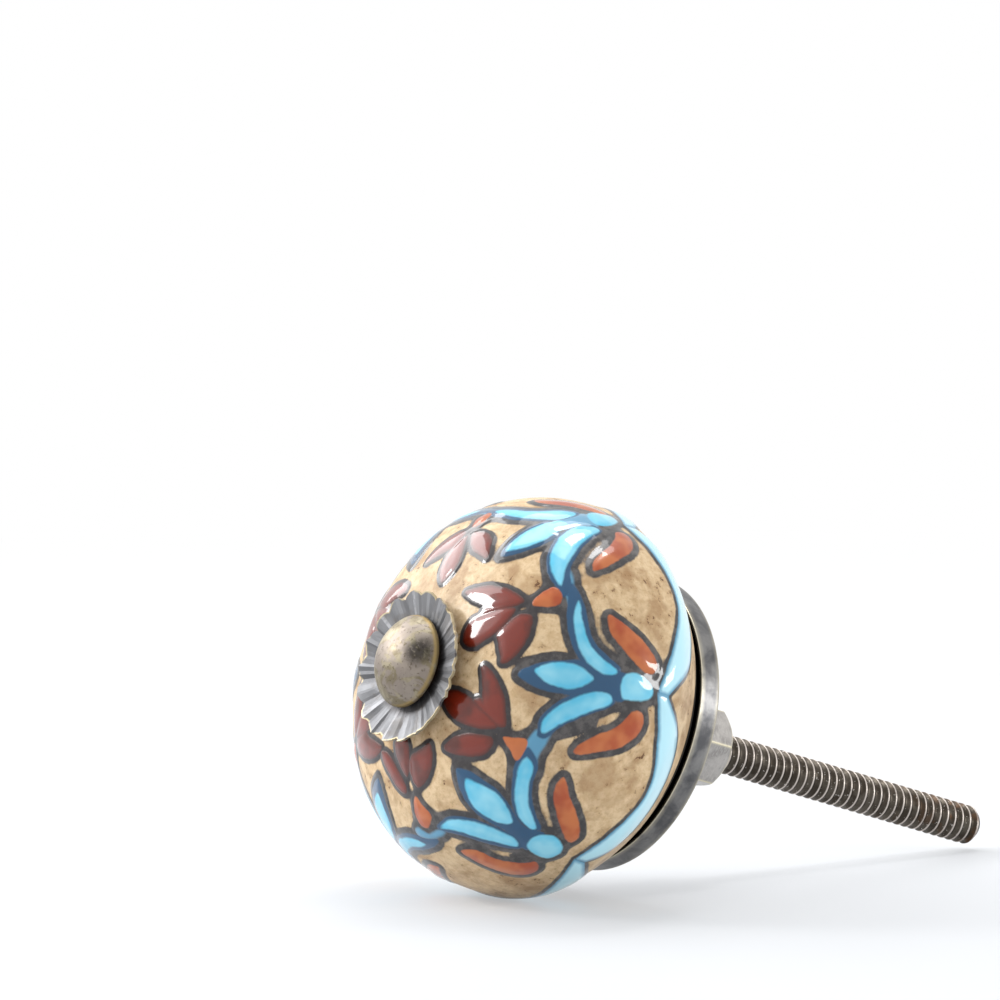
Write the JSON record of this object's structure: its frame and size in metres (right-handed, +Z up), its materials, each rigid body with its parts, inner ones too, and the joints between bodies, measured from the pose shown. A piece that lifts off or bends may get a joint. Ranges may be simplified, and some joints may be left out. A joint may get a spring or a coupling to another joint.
{
  "type": "cabinet knob",
  "caption": "Round ceramic cabinet knob with a painted flower border, domed front bolt, pleated rosette, metal back plate and long threaded stud.",
  "frame": {"origin": "centre of the stud at the back plate's seating face", "axes": "+Y along the stud into the drawer front, -Y towards the user, +Z up"},
  "size_m": [0.0406, 0.0765, 0.0406],
  "materials": {
    "bare_ceramic": "satin mottled tan ceramic",
    "dark_slip": "dark blue-grey raised slip",
    "turquoise_glaze": "glossy turquoise glaze",
    "rust_glaze": "glossy brown-red glaze",
    "orange_glaze": "glossy orange glaze",
    "aged_bolt_brass": "antique brass with dark patina",
    "grey_rosette": "grey antique metal with worn brassy edge",
    "dark_plate": "dark antique bronze",
    "aged_nut_brass": "dull grey brass with scratches"
  },
  "bodies": {
    "root": {"ceramic_knob": "bare_ceramic", "outline_slip": "dark_slip", "turquoise_glaze": "turquoise_glaze", "rust_glaze": "rust_glaze", "orange_glaze": "orange_glaze", "domed_bolt": "aged_bolt_brass", "rosette_washer": "grey_rosette", "back_plate": "dark_plate", "hex_nut": "aged_nut_brass"}
  },
  "joints": []
}
